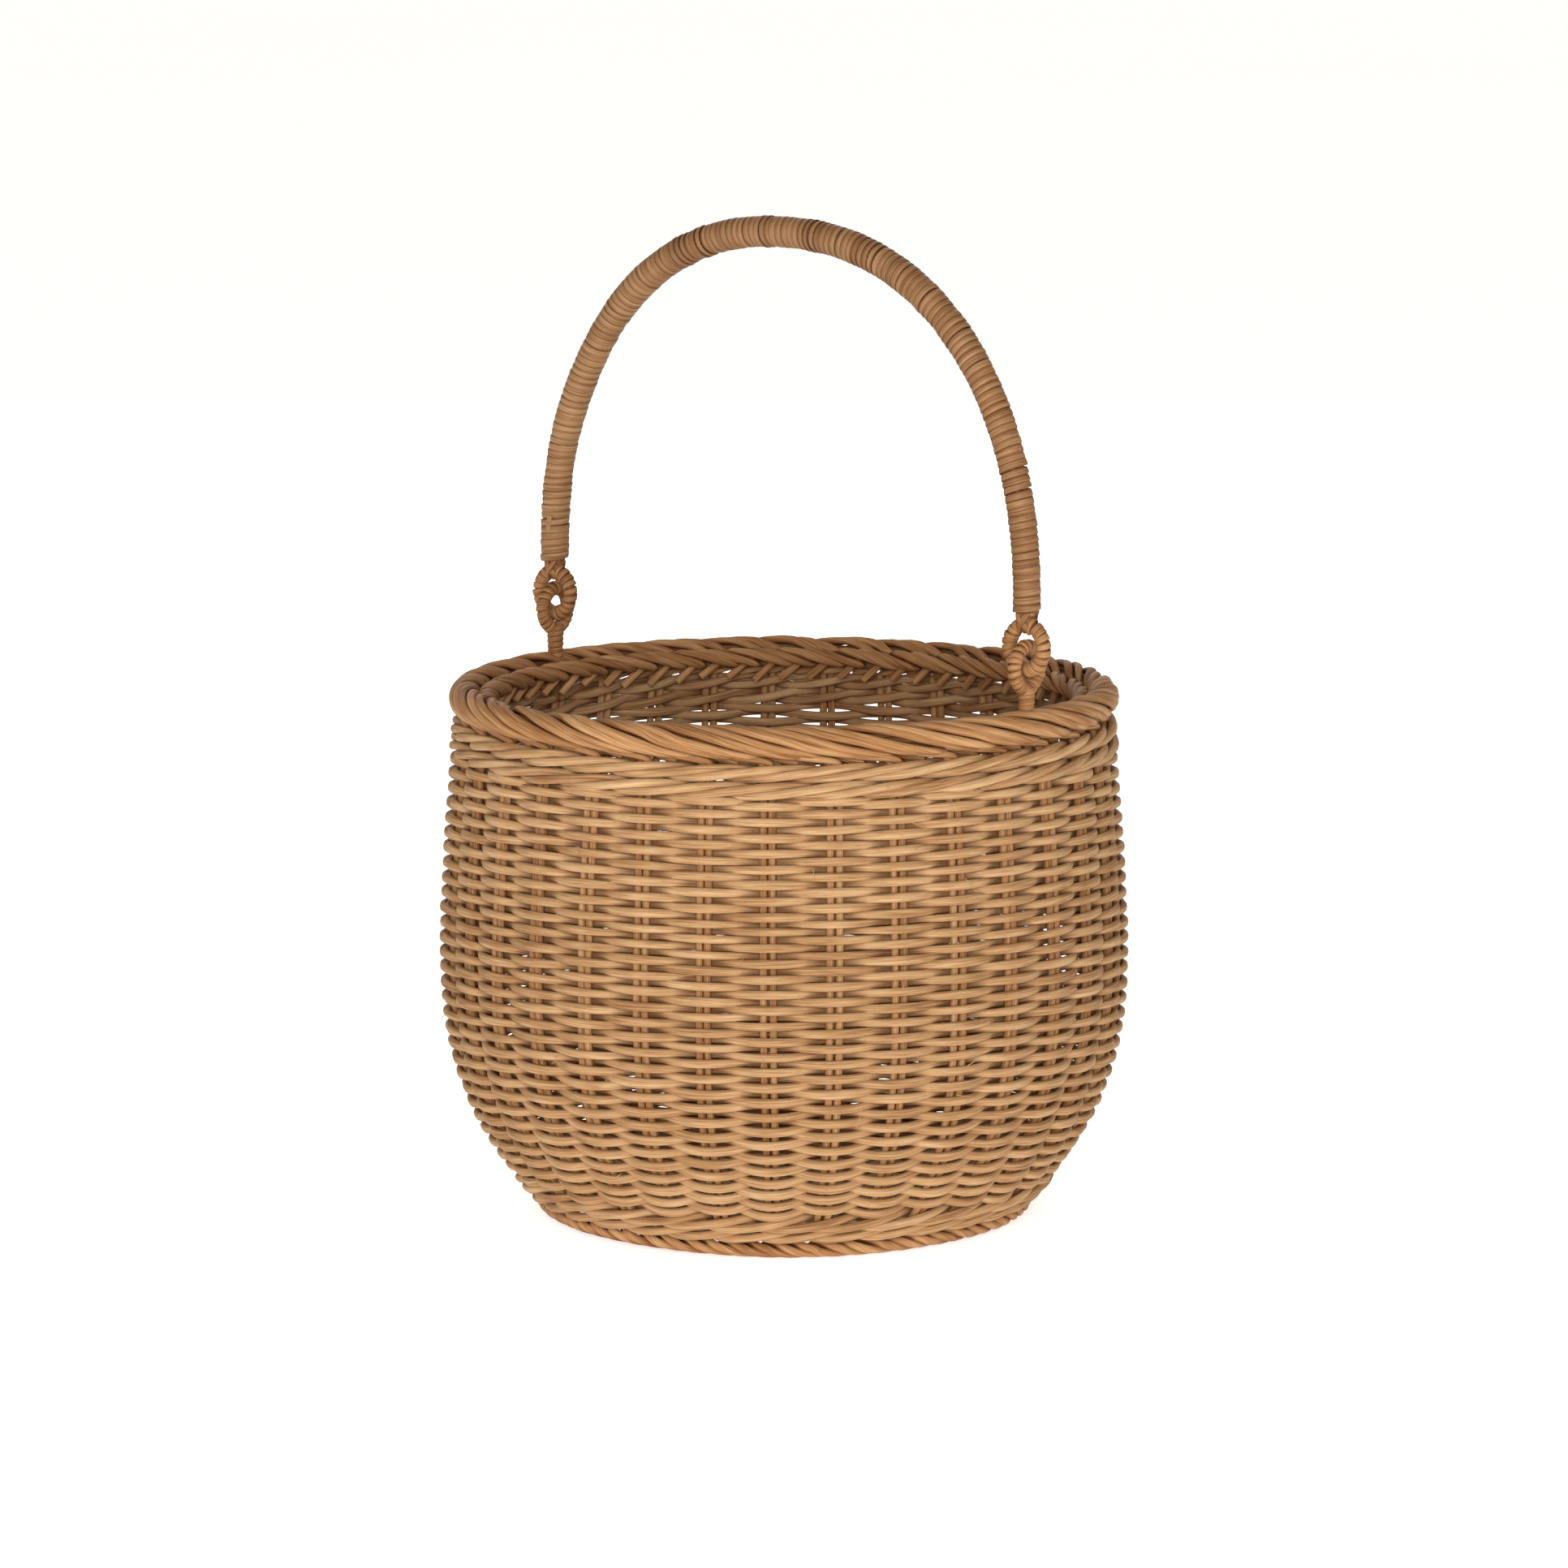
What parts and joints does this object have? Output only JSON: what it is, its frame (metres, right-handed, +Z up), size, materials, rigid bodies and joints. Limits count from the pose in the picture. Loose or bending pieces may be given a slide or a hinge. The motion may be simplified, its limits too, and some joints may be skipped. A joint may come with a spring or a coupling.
{
  "type": "wicker basket",
  "caption": "Round woven rattan basket with a rolled border, a foot ring and a cane-wrapped swing handle hinged on linked eyes.",
  "frame": {"origin": "centre of the foot ring's underside, on the surface the basket stands on", "axes": "+Z up through the mouth, X along the handle's hinge line, Y across it"},
  "size_m": [0.2405, 0.2404, 0.3474],
  "materials": {
    "stakes": "natural rattan rod, satin",
    "weave": "natural round rattan core, satin, streaked",
    "border": "natural round rattan core, satin",
    "base": "natural rattan, matte",
    "eyes": "rattan rod bound with fine cane, satin",
    "core": "bundled rattan rods, matte",
    "wrap": "flat cane strip, satin"
  },
  "bodies": {
    "basket": {"stake_01": "stakes", "stake_02": "stakes", "stake_03": "stakes", "stake_04": "stakes", "stake_05": "stakes", "stake_06": "stakes", "stake_07": "stakes", "stake_08": "stakes", "stake_09": "stakes", "stake_10": "stakes", "stake_11": "stakes", "stake_12": "stakes", "stake_13": "stakes", "stake_14": "stakes", "stake_15": "stakes", "stake_16": "stakes", "stake_17": "stakes", "stake_18": "stakes", "stake_19": "stakes", "stake_20": "stakes", "stake_21": "stakes", "stake_22": "stakes", "stake_23": "stakes", "stake_24": "stakes", "stake_25": "stakes", "stake_26": "stakes", "stake_27": "stakes", "stake_28": "stakes", "stake_29": "stakes", "stake_30": "stakes", "stake_31": "stakes", "stake_32": "stakes", "stake_33": "stakes", "upsett_wale": "weave", "weave_band_1": "weave", "weave_band_2": "weave", "weave_band_3": "weave", "weave_band_4": "weave", "weave_band_5": "weave", "weave_band_6": "weave", "top_wale": "weave", "top_border": "border", "foot_border": "border", "base_stick_1": "base", "base_stick_2": "base", "base_stick_3": "base", "base_stick_4": "base", "base_stick_5": "base", "base_stick_6": "base", "base_weave_1": "base", "base_weave_2": "base", "base_weave_3": "base", "basket_eye_left": "eyes", "basket_eye_right": "eyes"},
    "handle": {"handle_core": "core", "handle_wrap": "wrap", "handle_eye_left": "eyes", "handle_eye_right": "eyes"}
  },
  "joints": [
    {"name": "handle_swing", "type": "hinge", "parent": "basket", "child": "handle", "pos_m": [0, 0, 0.2005], "axis": [1, 0, 0], "range_deg": [-102, 102]}
  ]
}
